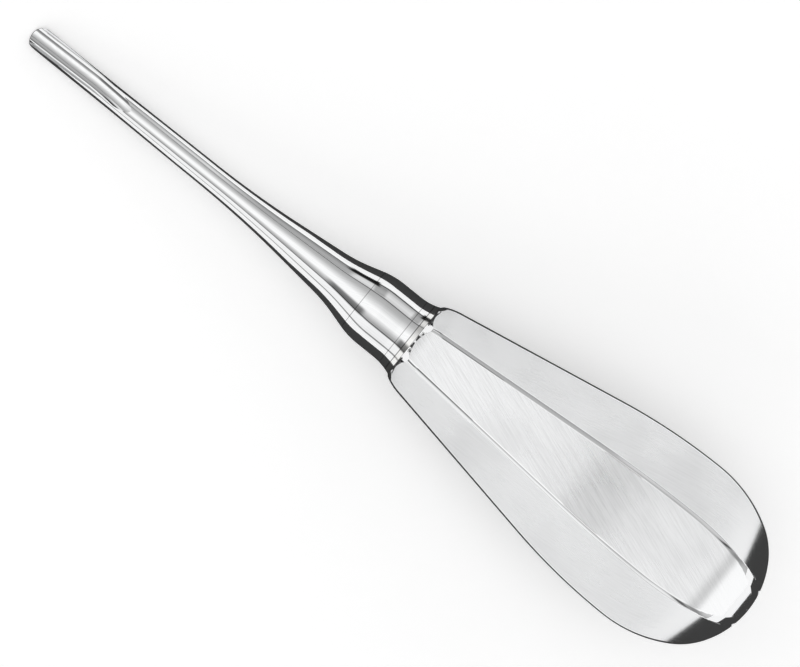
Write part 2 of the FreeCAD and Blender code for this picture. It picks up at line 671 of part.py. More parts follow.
def make_braze_ring():
    """Thin ring of braze between the collar's flange and the handle."""
    body = new_body("braze_ring")
    ring = new_sketch(body, "ring_section", "XZ_Plane")
    front = (place["flange_end"], place["flange_radius"])
    rear = (place["handle_front"], place["neck_radius"])
    bore = size["tang_radius"] + size["fit_gap"]
    outer_line, rear_line, bore_line, front_line = add_lines(
        ring, [front, rear, (rear[0], bore), (front[0], bore), front]
    )
    tie(ring, "Coincident", front_line, END, outer_line, START)
    tie(ring, "Vertical", rear_line)
    tie(ring, "Vertical", front_line)
    tie(ring, "Horizontal", bore_line)
    drive_x(ring, "places.flange_end", outer_line, START, front[0])
    drive_y(ring, "places.flange_radius", outer_line, START, front[1])
    drive_x(ring, "places.handle_front", outer_line, END, rear[0])
    drive_y(ring, "places.neck_radius", outer_line, END, rear[1])
    drive_y(ring, "sizes.tang_radius + sizes.fit_gap", bore_line, START, bore)
    revolve(body, ring, "ring_turned")
    return body


def bore_for_tang(body, name, length):
    """The round hole in which the tang sits."""
    bore = new_sketch(body, name + "_bore", "YZ_Plane")
    radius = size["tang_radius"] + size["fit_gap"]
    circle = add_circle(bore, (0.0, 0.0), radius)
    tie(bore, "Coincident", circle, CENTRE, *ORIGIN)
    drive(bore, "sizes.tang_radius + sizes.fit_gap", "Radius", circle, radius)
    cut_both_ways(body, bore, name + "_bored", length)


def make_neck_plug():
    """Milled plug that fills the handle behind its neck and holds the tang."""
    inset = "(sizes.shell_wall + sizes.fit_gap)"
    body = handle_form("neck_plug", inset, size["shell_wall"] + size["fit_gap"], turn_drum)
    near, far = place["plug_end"], place["butt"] + OVERRUN
    reach = 2 * size["widest_flat"]
    rear = new_sketch(body, "plug_rear", "XZ_Plane")
    bottom, back, top, face = add_lines(
        rear, [(near, -reach), (far, -reach), (far, reach), (near, reach), (near, -reach)]
    )
    tie(rear, "Coincident", face, END, bottom, START)
    for level in (bottom, top):
        tie(rear, "Horizontal", level)
    for upright in (back, face):
        tie(rear, "Vertical", upright)
    drive_x(rear, "places.plug_end", bottom, START, near)
    drive_x(rear, f"places.butt + {OVERRUN}", back, START, far)
    drive_y(rear, "2 * sizes.widest_flat", top, START, reach)
    drive(rear, "2 * sizes.widest_flat", "DistanceY", bottom, START, *ORIGIN, reach)
    cut_both_ways(body, rear, "plug_faced", "4 * sizes.widest_flat")

    bore_for_tang(body, "plug", "2 * places.butt")
    drill_pin_hole(body, "plug", "4 * sizes.widest_flat")
    return body


def make_tang_pin():
    """Cross pin that stops the tang from turning or pulling out of the plug."""
    body = new_body("tang_pin")
    section = new_sketch(body, "pin_section", "XZ_Plane")
    circle = add_circle(section, (place["pin_at"], 0.0), size["pin_radius"])
    tie(section, "PointOnObject", circle, CENTRE, X_AXIS)
    drive_x(section, "places.pin_at", circle, CENTRE, place["pin_at"])
    drive(section, "sizes.pin_radius", "Radius", circle, size["pin_radius"])
    pin = body.newObject("PartDesign::Pad", "pin_turned")
    pin.Profile = section
    pin.SideType = "Symmetric"
    pin.Type = "Length"
    pin.setExpression("Length", "2 * places.pin_reach")
    body.Tip = pin
    return body


# ---------------------------------------------------------------- handle shells

def slab(name, low, high):
    """A block that spans the whole handle between two heights."""
    block = doc.addObject("Part::Box", name)
    block.setExpression("Length", "2 * places.butt")
    block.setExpression("Width", "4 * sizes.widest_flat")
    block.setExpression("Height", f"{high} - ({low})")
    block.setExpression("Placement.Base.y", "-2 * sizes.widest_flat")
    block.setExpression("Placement.Base.z", low)
    return block


def make_handle():
    """Two pressed half shells and the ground-flush weld that joins them."""
    wall = doc.addObject("Part::Cut", "handle_wall")
    outside = handle_form("handle_outside", "0", 0.0, turn_pear)
    bore_for_tang(outside, "neck", "2 * places.plug_end")
    wall.Base = outside
    wall.Tool = handle_form("handle_inside", "sizes.shell_wall", size["shell_wall"], turn_drum)
    pieces = []
    for name, low, high in (
        ("handle_shell_top", "sizes.weld_width / 2", "2 * sizes.widest_flat"),
        ("handle_shell_bottom", "-2 * sizes.widest_flat", "-sizes.weld_width / 2"),
        ("seam_weld", "-sizes.weld_width / 2", "sizes.weld_width / 2"),
    ):
        piece = doc.addObject("Part::Common", name)
        piece.Label = name
        piece.Base = wall
        piece.Tool = slab(name + "_slab", low, high)
        pieces.append(piece)
    return pieces


# ---------------------------------------------------------------- assembly

sub_parts = [make_shank(), make_braze_ring(), make_neck_plug(), make_tang_pin()] + make_handle()
doc.recompute()

# The tool lies on its heel (a point) and on the belly of its lowest flat (an arc): the
# table is the line through the heel that is tangent to the belly.
heel = (size["heel_length"], -size["blade_radius"])
belly_centre = (place["widest_at"], size["belly_radius"] - size["widest_flat"])
rise = math.atan2(belly_centre[1] - heel[1], belly_centre[0] - heel[0])
rest_angle = rise - math.asin(size["belly_radius"] / math.dist(heel, belly_centre))
turn = FreeCAD.Rotation(FreeCAD.Vector(0, 1, 0), math.degrees(rest_angle))
turned_tool = Part.makeCompound([piece.Shape for piece in sub_parts])
turned_tool.Placement = FreeCAD.Placement(FreeCAD.Vector(0, 0, 0), turn)
reach_box = turned_tool.optimalBoundingBox(False)
for piece in sub_parts:
    piece.Placement = FreeCAD.Placement(
        FreeCAD.Vector(-reach_box.Center.x, -reach_box.Center.y, -reach_box.ZMin), turn
    )
doc.recompute()

for item in doc.Objects:
    if "Invalid" in item.State or "Error" in item.State:
        raise RuntimeError(f"{item.Name} failed: {item.State}")
for piece in sub_parts:
    if piece.Shape.isNull() or not piece.Shape.isValid():
        raise RuntimeError(f"{piece.Label} has no valid shape")

os.makedirs("parts", exist_ok=True)
for piece in sub_parts:
    piece.Shape.exportStep(f"parts/{piece.Label}.step")
    print(piece.Label, len(piece.Shape.Solids), "solid,", round(piece.Shape.Volume, 2), "mm3")
print("length", round(place["butt"], 3), "rest angle", round(math.degrees(rest_angle), 4))
print("moved by", [round(c, 5) for c in sub_parts[0].Placement.Base])
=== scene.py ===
import math

import bmesh
import bpy
from mathutils import Matrix, Vector


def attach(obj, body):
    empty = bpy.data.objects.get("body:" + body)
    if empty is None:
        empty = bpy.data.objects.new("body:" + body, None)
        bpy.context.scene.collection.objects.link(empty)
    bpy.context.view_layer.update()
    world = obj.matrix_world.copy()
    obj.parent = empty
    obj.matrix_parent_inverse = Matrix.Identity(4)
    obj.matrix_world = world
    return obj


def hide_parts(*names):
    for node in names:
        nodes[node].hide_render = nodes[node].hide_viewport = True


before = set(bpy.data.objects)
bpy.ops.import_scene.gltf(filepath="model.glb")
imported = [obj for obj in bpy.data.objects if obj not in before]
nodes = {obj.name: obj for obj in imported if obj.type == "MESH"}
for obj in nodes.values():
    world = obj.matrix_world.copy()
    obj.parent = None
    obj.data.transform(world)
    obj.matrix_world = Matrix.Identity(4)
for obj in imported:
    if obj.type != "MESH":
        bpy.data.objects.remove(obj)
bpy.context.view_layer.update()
scene = bpy.context.scene

MM = 0.001

# ---------------------------------------------------------------- tool frame
# The tool is drawn along X from the blade's edge, and laid down on heel and belly.
REST_ANGLE = math.radians(6.3479)
TOOL_ORIGIN = Vector((-69.61882, 0.0, 1.18521)) * MM
tool_turn = Matrix.Rotation(-REST_ANGLE, 4, "Y")
TOOL = Matrix.Translation(TOOL_ORIGIN) @ tool_turn


def tool_point(x, y, z):
    return TOOL @ (Vector((x, y, z)) * MM)


def tool_direction(x, y, z):
    return (tool_turn @ Vector((x, y, z, 0.0))).xyz.normalized()


# ---------------------------------------------------------------- sizes of the tool
# Millimetres, as in the solids. The places run along the tool from the blade's edge.
BLADE_RADIUS = 1.86
BLADE_LENGTH = 16.0
HOLLOW_RADIUS = 1.9
HOLLOW_FLOOR = -0.75
HOLLOW_SLOPE = math.radians(5.2)
HOLLOW_STRAIGHT = 12.5
HOLLOW_RUNOUT = 31.0
EDGE_THICKNESS = 0.16
HEEL_AT = 6.0
SLIM_END, SLIM_RADIUS, SWELL_RADIUS = 42.4, 2.09, 160.0
CONE_END, CONE_RADIUS, FLARE_RADIUS = 60.25, 4.0, 25.0
CREASE_AT, CREASE_RADIUS = 64.9, 5.35
COLLAR_START, COLLAR_END, COLLAR_RADIUS = 68.3, 71.5, 5.8
NECK_SWEEP = 9.0
TURNED_STOP = 72.7
FLANGE_AT = 74.0
HANDLE_FRONT = 74.8
TANG_RADIUS, TANG_END = 2.5, 90.0
SHOULDER_RISE = math.tan(math.radians(48.0))
SHOULDER_STEP = 1.3
LEAD_IN_END, LEAD_IN_RADIUS = 77.9, 10.0
FLAT_TAPER = math.radians(10.3)
WIDEST_FLAT = 14.2
BELLY_RADIUS = 98.2
REAR_RADIUS = 22.5
REAR_SWEEP = math.radians(30.0)
LAND_DEPTH = 0.12
SHELL_WALL = 1.0
HALF_WELD = 0.3
FACETS = 8
HALF_FACET = math.pi / FACETS

# ---------------------------------------------------------------- node helpers
class Tree:
    """A short hand for a node tree: nodes are made and joined in one call."""

    def __init__(self, tree):
        self.tree = tree

    def add(self, kind, inputs=(), **settings):
        node = self.tree.nodes.new(kind)
        for name, value in settings.items():
            setattr(node, name, value)
        for key, value in dict(inputs).items():
            self.put(node.inputs[key], value)
        return node

    def put(self, socket, value):
        if isinstance(value, bpy.types.NodeSocket):
            self.tree.links.new(value, socket)
        else:
            socket.default_value = value

    def math(self, operation, *values):
        node = self.add("ShaderNodeMath", enumerate(values), operation=operation)
        return node.outputs[0]

    def mix(self, factor, first, second):
        node = self.add("ShaderNodeMix", data_type="FLOAT")
        self.put(node.inputs["Factor"], factor)
        self.put(node.inputs["A"], first)
        self.put(node.inputs["B"], second)
        return node.outputs["Result"]

    def tint(self, factor, first, second):
        """A colour between two colours."""
        node = self.add("ShaderNodeMix", data_type="RGBA")
        self.put(node.inputs[0], factor)
        self.put(node.inputs[6], first)
        self.put(node.inputs[7], second)
        return node.outputs[2]

    def step(self, value, start, end):
        """0 before start, 1 after end, and a soft rise between them."""
        node = self.add(
            "ShaderNodeMapRange", {"Value": value, "From Min": start, "From Max": end},
            interpolation_type="SMOOTHSTEP",
        )
        return node.outputs[0]

    def ramp(self, factor, stops):
        node = self.add("ShaderNodeValToRGB", {"Fac": factor})
        elements = node.color_ramp.elements
        while len(elements) < len(stops):
            elements.new(0.5)
        for element, (position, value) in zip(elements, stops):
            element.position = position
            element.color = (value, value, value, 1.0)
        return node.outputs["Color"]

    def use(self, group, inputs):
        """A node group placed in this tree with its own values."""
        node = self.add("ShaderNodeGroup", node_tree=group)
        for key, value in inputs.items():
            self.put(node.inputs[key], value)
        return node.outputs


class Group(Tree):
    """A shader node group with named inputs (name: default) and named number outputs."""

    def __init__(self, name, inputs, outputs):
        super().__init__(bpy.data.node_groups.new(name, "ShaderNodeTree"))
        for socket, default in inputs.items():
            kind = "NodeSocketVector" if default is None else "NodeSocketFloat"
            item = self.tree.interface.new_socket(socket, in_out="INPUT", socket_type=kind)
            if default is not None:
                item.default_value = default
        for socket in outputs:
            self.tree.interface.new_socket(socket, in_out="OUTPUT", socket_type="NodeSocketFloat")
        self.given = self.tree.nodes.new("NodeGroupInput").outputs
        self.result = self.tree.nodes.new("NodeGroupOutput").inputs

    def give(self, name, value):
        self.put(self.result[name], value)


def make_tool_place():
    """Where a point lies on the tool: millimetres along it and from its axis, and the
    angle round the axis in radians, 0 at the +Y side and a quarter turn at the top."""
    group = Group("tool_place", {"Point": None}, ("Along", "Radius", "Angle"))
    turned = group.add(
        "ShaderNodeVectorRotate",
        {"Vector": group.given["Point"], "Center": TOOL_ORIGIN, "Angle": REST_ANGLE},
        rotation_type="Y_AXIS",
    )
    shifted = group.add(
        "ShaderNodeVectorMath", {0: turned.outputs[0], 1: TOOL_ORIGIN}, operation="SUBTRACT"
    )
    parts = group.add("ShaderNodeSeparateXYZ", {"Vector": shifted.outputs[0]}).outputs
    y = group.math("MULTIPLY", parts["Y"], 1 / MM)
    z = group.math("MULTIPLY", parts["Z"], 1 / MM)
    squares = group.math("MULTIPLY_ADD", y, y, group.math("MULTIPLY", z, z))
    group.give("Along", group.math("MULTIPLY", parts["X"], 1 / MM))
    group.give("Radius", group.math("SQRT", squares))
    group.give("Angle", group.math("ARCTAN2", z, y))
    return group.tree


def make_brushed_grain():
    """Long fine scratches from a grinding belt. Length and Width are in millimetres, and
    Slant is how far the scratches lean across for each millimetre along."""
    group = Group(
        "brushed_grain",
        {"Along": 0.0, "Across": 0.0, "Seed": 0.0, "Slant": 0.0, "Length": 10.0, "Width": 0.2},
        ("Grain",),
    )
    given = group.given
    level = group.math("MULTIPLY_ADD", given["Along"], given["Slant"], given["Across"])
    place = group.add(
        "ShaderNodeCombineXYZ",
        {
            "X": group.math("DIVIDE", given["Along"], given["Length"]),
            "Y": group.math("DIVIDE", level, given["Width"]),
            "Z": given["Seed"],
        },
    ).outputs[0]
    noise = group.add(
        "ShaderNodeTexNoise", {"Vector": place, "Scale": 1.0, "Detail": 3.0, "Roughness": 0.65}
    )
    group.give("Grain", noise.outputs["Fac"])
    return group.tree


def make_cut_line():
    """A fine line round the tool at one place along it, such as a dark joint line or the painted
    shade line at a crease.
    """
    group = Group("cut_line", {"Along": 0.0, "Place": 0.0, "Width": 0.1}, ("Line",))
    given = group.given
    away = group.math("ABSOLUTE", group.math("SUBTRACT", given["Along"], given["Place"]))
    near = group.math("DIVIDE", away, given["Width"])
    group.give("Line", group.math("SUBTRACT", 1.0, group.step(near, 0.35, 1.0)))
    return group.tree


TOOL_PLACE = make_tool_place()
BRUSHED_GRAIN = make_brushed_grain()
CUT_LINE = make_cut_line()


def new_metal(name):
    """A material with its tree, its shader and its place on the tool."""
    material = bpy.data.materials.new(name)
    material.use_nodes = True
    tree = Tree(material.node_tree)
    shader = material.node_tree.nodes["Principled BSDF"]
    shader.inputs["Metallic"].default_value = 1.0
    point = tree.add("ShaderNodeTexCoord").outputs["Object"]
    return material, tree, shader.inputs, point, tree.use(TOOL_PLACE, {"Point": point})


def raise_bumps(tree, height, strength, distance):
    """Normals from a height over the surface. The distance is in metres."""
    bump = tree.add(
        "ShaderNodeBump", {"Height": height, "Strength": strength, "Distance": distance}
    )
    return bump.outputs["Normal"]


STEEL = (0.90, 0.905, 0.91, 1.0)
# Dull steel of the ground flats and the hairlines, and also the colour of the painted side shade
# on the handle.
DULL_STEEL_AND_SIDE_SHADE = (0.76, 0.765, 0.77, 1.0)
# Colour of the dark joint and stop lines, and of the painted shade line at the crease.
DARK_LINE_AND_CREASE_SHADE = (0.10, 0.10, 0.10, 1.0)


def make_ground_steel(name, side_slant, seed):
    """Belt-ground flats with polished ridges, shoulder and round end. Every flat but the top one
    carries painted shade, a base colour nearer the dull steel.
    """
    material, tree, sockets, point, place = new_metal(name)
    along = place["Along"]
    facet = tree.math("ROUND", tree.math("DIVIDE", place["Angle"], math.pi / 4))
    local = tree.math("MULTIPLY_ADD", facet, -math.pi / 4, place["Angle"])
    across = tree.math("MULTIPLY", place["Radius"], tree.math("SINE", local))
    front = tree.math("COMPARE", facet, 2.0, 0.5)
    slant = tree.mix(front, side_slant, -0.36)
    field = tree.math("MULTIPLY_ADD", facet, 7.3, seed)
    common = {"Along": along, "Across": across, "Seed": field, "Slant": slant}
    fine = tree.use(BRUSHED_GRAIN, {**common, "Length": 4.0, "Width": 0.13})["Grain"]
    broad = tree.use(BRUSHED_GRAIN, {**common, "Length": 9.0, "Width": 0.34})["Grain"]
    grain = tree.mix(0.3, fine, broad)
    ground = tree.add("ShaderNodeAttribute", attribute_name="ground").outputs["Fac"]
    buffed_end = tree.step(along, 126.0, 135.0)
    matt = tree.math("MULTIPLY", ground, tree.mix(buffed_end, 1.0, 0.15))
    cloud = tree.add("ShaderNodeTexNoise", {"Vector": point, "Scale": 90.0, "Detail": 2.0})
    worn = tree.mix(tree.step(cloud.outputs["Fac"], 0.35, 0.7), 0.17, 0.25)
    rough = tree.math("MULTIPLY_ADD", grain, 0.16, worn)
    tree.put(sockets["Roughness"], tree.mix(matt, 0.05, rough))
    streaked = tree.step(grain, 0.62, 0.32)
    # Painted shade: on their ground parts, every flat but the top one is pushed at least 0.45 of
    # the way to the dull colour, so the sides read darker than the top.
    painted_side_shade = tree.mix(front, 0.45, 0.0)
    dull_finish_and_side_shade = tree.math("MULTIPLY", matt, tree.mix(painted_side_shade, streaked, 1.0))
    tree.put(sockets["Base Color"], tree.tint(dull_finish_and_side_shade, STEEL, DULL_STEEL_AND_SIDE_SHADE))
    height = tree.math("MULTIPLY", grain, matt)
    tree.put(sockets["Normal"], raise_bumps(tree, height, 0.35, 0.00001))
    return material


def make_polished_steel():
    """Mirror-polished bar with hairlines from the buffing wheel, dark lines at the turned stop and
    the flange joint, and a fine line of painted shade at the crease.
    """
    material, tree, sockets, point, place = new_metal("polished_steel")
    along = place["Along"]
    around = tree.math("MULTIPLY", place["Angle"], place["Radius"])
    hair = tree.use(
        BRUSHED_GRAIN, {"Along": along, "Across": around, "Length": 9.0, "Width": 0.12}
    )["Grain"]
    cloud = tree.add("ShaderNodeTexNoise", {"Vector": point, "Scale": 140.0, "Detail": 2.0})
    rubbed = tree.step(cloud.outputs["Fac"], 0.4, 0.75)
    tree.put(sockets["Roughness"], tree.math("MULTIPLY_ADD", rubbed, 0.03, 0.02))
    # Painted shade: the dark line at the crease stands in for the break in the reflections where
    # the cone meets the collar.
    crease_shade = tree.use(CUT_LINE, {"Along": along, "Place": CREASE_AT, "Width": 0.10})["Line"]
    stop = tree.use(CUT_LINE, {"Along": along, "Place": TURNED_STOP, "Width": 0.10})["Line"]
    joint = tree.use(CUT_LINE, {"Along": along, "Place": FLANGE_AT, "Width": 0.12})["Line"]
    # The painted crease shade and the turned stop's dark line, both at half strength.
    crease_shade_and_stop_line = tree.math("MULTIPLY", tree.math("MAXIMUM", crease_shade, stop), 0.5)
    lines = tree.math("MAXIMUM", crease_shade_and_stop_line, tree.math("MULTIPLY", joint, 0.8))
    steel = tree.tint(tree.math("MULTIPLY", tree.step(hair, 0.6, 0.3), 0.35), STEEL, DULL_STEEL_AND_SIDE_SHADE)
    tree.put(sockets["Base Color"], tree.tint(lines, steel, DARK_LINE_AND_CREASE_SHADE))
    tree.put(sockets["Normal"], raise_bumps(tree, hair, 0.06, 0.00001))
    return material


def make_braze_metal():
    """Silver braze: a little warmer than the steel, flowed smooth, dark at both joints."""
    material, tree, sockets, point, place = new_metal("silver_braze")
    flow = tree.add("ShaderNodeTexNoise", {"Vector": point, "Scale": 900.0, "Detail": 3.0})
    metal = tree.tint(flow.outputs["Fac"], (0.90, 0.90, 0.89, 1.0), (0.86, 0.855, 0.84, 1.0))
    front = tree.use(CUT_LINE, {"Along": place["Along"], "Place": FLANGE_AT, "Width": 0.10})
    rear = tree.use(CUT_LINE, {"Along": place["Along"], "Place": HANDLE_FRONT, "Width": 0.10})
    lines = tree.math("MULTIPLY", tree.math("MAXIMUM", front["Line"], rear["Line"]), 0.7)
    tree.put(sockets["Base Color"], tree.tint(lines, metal, DARK_LINE_AND_CREASE_SHADE))
    tree.put(sockets["Roughness"], tree.mix(flow.outputs["Fac"], 0.05, 0.14))
    tree.put(sockets["Normal"], raise_bumps(tree, flow.outputs["Fac"], 0.05, 0.00002))
    return material


def make_machined_steel():
    """Turned surfaces inside the handle: fine tool rings and a thin film of scale."""
    material, tree, sockets, point, place = new_metal("machined_steel")
    ring = tree.math("SINE", tree.math("MULTIPLY", place["Along"], 2 * math.pi / 0.25))
    film = tree.add("ShaderNodeTexNoise", {"Vector": point, "Scale": 300.0, "Detail": 4.0})
    stain = tree.step(film.outputs["Fac"], 0.4, 0.7)
    tree.put(
        sockets["Base Color"], tree.tint(stain, (0.62, 0.62, 0.63, 1.0), (0.50, 0.47, 0.43, 1.0))
    )
    tree.put(sockets["Roughness"], tree.mix(stain, 0.28, 0.42))
    tree.put(sockets["Normal"], raise_bumps(tree, ring, 0.2, 0.00002))
    return material


# ---------------------------------------------------------------- outlines of the tool
def neck_height(x):
    """Height of the sweep that widens from the collar into the neck of the handle."""
    return COLLAR_RADIUS + NECK_SWEEP - math.sqrt(NECK_SWEEP**2 - (x - COLLAR_END) ** 2)


NECK_RADIUS = neck_height(HANDLE_FRONT)
FRONT_FLAT = NECK_RADIUS + SHOULDER_STEP
WIDEST_AT = LEAD_IN_END + (
    BELLY_RADIUS * (1 / math.cos(FLAT_TAPER) - 1) + WIDEST_FLAT - FRONT_FLAT
) / math.tan(FLAT_TAPER)


def arc_height(x, centre, middle, radius):
    """Height of a circular arc that bulges away from the axis."""
    return middle + math.sqrt(max(radius**2 - (x - centre) ** 2, 0.0))


def pear_height(x, widest, belly, rear, taper):
    """Outline of the handle behind its front end: taper, belly, rear curve, round end."""
    if x < WIDEST_AT - belly * math.sin(taper):
        line_end = WIDEST_AT - belly * math.sin(taper)
        return widest - belly + belly * math.cos(taper) - (line_end - x) * math.tan(taper)
    if x < WIDEST_AT:
        return arc_height(x, WIDEST_AT, widest - belly, belly)
    if x < WIDEST_AT + rear * math.sin(REAR_SWEEP):
        return arc_height(x, WIDEST_AT, widest - rear, rear)
    end_centre = WIDEST_AT + (rear - widest) * math.tan(REAR_SWEEP)
    end_radius = rear - (rear - widest) / math.cos(REAR_SWEEP)
    return arc_height(x, end_centre, 0.0, end_radius)


def flat_height(x):
    """Distance from the axis to the ground flats."""
    if x < LEAD_IN_END:
        centre = LEAD_IN_END + LEAD_IN_RADIUS * math.sin(FLAT_TAPER)
        middle = FRONT_FLAT - LEAD_IN_RADIUS * math.cos(FLAT_TAPER)
        return arc_height(x, centre, middle, LEAD_IN_RADIUS)
    return pear_height(x, WIDEST_FLAT, BELLY_RADIUS, REAR_RADIUS, FLAT_TAPER)


RATIO = 1 / math.cos(HALF_FACET)
TURNED_TOP = WIDEST_FLAT * RATIO - LAND_DEPTH
TURNED_REAR = REAR_RADIUS / RATIO
BUTT = (
    WIDEST_AT
    + (TURNED_REAR - TURNED_TOP) * math.tan(REAR_SWEEP)
    + TURNED_REAR
    - (TURNED_REAR - TURNED_TOP) / math.cos(REAR_SWEEP)
)


def turned_height(x):
    """Radius of the turned blank: the shoulder in front and the pear shape behind."""
    shoulder = NECK_RADIUS + (x - HANDLE_FRONT) * SHOULDER_RISE
    taper = math.atan(math.tan(FLAT_TAPER) * RATIO)
    pear = pear_height(x, TURNED_TOP, BELLY_RADIUS / RATIO, TURNED_REAR, taper)
    return min(shoulder, pear)


def ridge_rounding(x):
    """Radius of the softened ridges, which grows a little towards the butt."""
    return 1.15 + 0.4 * max(0.0, (x - WIDEST_AT) / (BUTT - WIDEST_AT))


# ---------------------------------------------------------------- finishes
polished = make_polished_steel()
satin = make_ground_steel("ground_steel", 0.2, 0.0)
weld_steel = make_ground_steel("dressed_weld_steel", 1.2, 3.0)
machined = make_machined_steel()
FINISH = {"braze_ring": make_braze_metal(), "neck_plug": machined, "tang_pin": machined}
for name, material in FINISH.items():
    mesh = nodes[name].data
    mesh.materials.clear()
    mesh.materials.append(material)


# ---------------------------------------------------------------- meshes
SHARP = math.radians(20.0)
MERGE_WITHIN = 0.002


def make_piece(name, points, faces, normals, node_names, material, attributes=()):
    """A mesh from points in the tool's own millimetres. Without given normals, points that
    fall together are merged, and edges sharper than SHARP stay sharp."""
    mesh = bpy.data.meshes.new(name)
    mesh.from_pydata([TOOL @ (Vector(p) * MM) for p in points], [], faces)
    for attribute, values in dict(attributes).items():
        layer = mesh.attributes.new(attribute, "FLOAT", "POINT")
        layer.data.foreach_set("value", values)
    mesh.materials.append(material)
    mesh.shade_smooth()
    if normals is None:
        work = bmesh.new()
        work.from_mesh(mesh)
        bmesh.ops.remove_doubles(work, verts=work.verts, dist=MERGE_WITHIN * MM)
        bmesh.ops.recalc_face_normals(work, faces=work.faces)
        work.to_mesh(mesh)
        work.free()
        mesh.set_sharp_from_angle(angle=SHARP)
    else:
        turned = [(tool_turn @ Vector((*n, 0.0))).xyz.normalized() for n in normals]
        mesh.normals_split_custom_set_from_vertices(turned)
    piece = bpy.data.objects.new(name, mesh)
    scene.collection.objects.link(piece)
    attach(piece, "root")
    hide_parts(*node_names)
    return piece


# Places across a ridge, as shares of its width. The outer two lie close to the flats.
CORNER_SHARES = [0.002, 0.1, 0.2, 0.3, 0.4, 0.5, 0.6, 0.7, 0.8, 0.9, 0.998]


def slope_of(height, x):
    """How fast a height changes along the tool."""
    step = 0.0001
    return (height(x + step) - height(x - step)) / (2 * step)


def facet_ring(x):
    """One ring of the handle: for each point its place, its normal and whether it is on
    a ground flat. The ring is split at the welds, and starts at the top of the +Y weld."""
    flat, turned = flat_height(x), turned_height(x)
    flat_slope, turned_slope = slope_of(flat_height, x), slope_of(turned_height, x)
    rounding = min(ridge_rounding(x), 0.6 * flat)
    half_flat = (flat - rounding) * math.tan(HALF_FACET)
    if turned**2 < flat**2 + half_flat**2:
        half_flat = math.sqrt(max(turned**2 - flat**2, 0.0))
    weld = min(HALF_WELD, 0.8 * min(flat, turned))
    half_flat_weld = max(half_flat, weld * 1.001)
    start = math.atan2(half_flat, min(flat, turned))
    ridge_centre = (flat - rounding) / math.cos(HALF_FACET)

    def flat_point(facet, offset):
        angle = facet * 2 * HALF_FACET
        height = min(flat, math.sqrt(max(turned**2 - offset**2, 0.0)))
        on_flat = height >= flat - 1e-9
        y = height * math.cos(angle) - offset * math.sin(angle)
        z = height * math.sin(angle) + offset * math.cos(angle)
        if on_flat:
            normal = (-flat_slope, math.cos(angle), math.sin(angle))
        else:
            normal = (-turned_slope, y / turned, z / turned)
        return (x, y, z), normal, 1.0 if on_flat else 0.0

    def corner_point(facet, share):
        ridge = (2 * facet + 1) * HALF_FACET
        local = start - HALF_FACET + share * 2 * (HALF_FACET - start)
        angle = ridge + local
        # where the ray meets the rounding round the ridge's centre
        across = ridge_centre * math.sin(local)
        rounded = ridge_centre * math.cos(local) + math.sqrt(max(rounding**2 - across**2, 0.0))
        if turned < rounded or rounding**2 < across**2:
            radius = turned
            normal = (-turned_slope, math.cos(angle), math.sin(angle))
        else:
            radius = rounded
            dy = radius * math.cos(angle) - ridge_centre * math.cos(ridge)
            dz = radius * math.sin(angle) - ridge_centre * math.sin(ridge)
            lean = math.atan2(dz, dy)
            rise = flat_slope / math.cos(HALF_FACET) * math.cos(lean - ridge)
            normal = (-rise, math.cos(lean), math.sin(lean))
        return (x, radius * math.cos(angle), radius * math.sin(angle)), normal, 0.0

    ring = [flat_point(0, weld), flat_point(0, half_flat_weld)]
    for facet in range(FACETS):
        for share in CORNER_SHARES:
            ring.append(corner_point(facet, share))
        following = facet + 1
        if following == FACETS // 2:
            offsets = (-half_flat_weld, -weld, weld, half_flat_weld)
        elif following == FACETS:
            offsets = (-half_flat_weld, -weld)
        else:
            offsets = (-half_flat, 0.0, half_flat)
        for offset in offsets:
            ring.append(flat_point(following, offset))
    return ring


def stations(*stretches):
    """Places along the tool: each stretch is (start, end, steps)."""
    places = []
    for start, end, steps in stretches:
        places += [start + (end - start) * step / steps for step in range(steps)]
    return places


ARCH_END = 78.4
ARCH_STEPS = 64
END_STEPS = 48
# How far the closing point of the shells stays inside the true end.
POLE_GAP = 0.004


def arch_apex():
    """Where the turned shoulder first rises above the flats, found by halving."""
    near, far = HANDLE_FRONT, ARCH_END
    for _ in range(50):
        middle = (near + far) / 2
        if turned_height(middle) < flat_height(middle):
            near = middle
        else:
            far = middle
    return middle


def handle_places():
    """Ring places: closest where the flats' arches start, and evenly round the end."""
    apex = arch_apex()
    arch = [apex + (ARCH_END - apex) * (step / ARCH_STEPS) ** 2 for step in range(ARCH_STEPS)]
    end_centre = WIDEST_AT + (TURNED_REAR - TURNED_TOP) * math.tan(REAR_SWEEP)
    end_radius = BUTT - end_centre
    first_angle = math.pi / 2 - REAR_SWEEP
    last_angle = math.asin(1.3 * HALF_WELD / end_radius)
    places = stations((HANDLE_FRONT, apex, 14)) + arch + stations(
        (ARCH_END, WIDEST_AT, 90),
        (WIDEST_AT, end_centre + end_radius * math.cos(first_angle), 24),
    )
    for step in range(END_STEPS + 1):
        angle = first_angle + (last_angle - first_angle) * step / END_STEPS
        places.append(end_centre + end_radius * math.cos(angle))
    return places


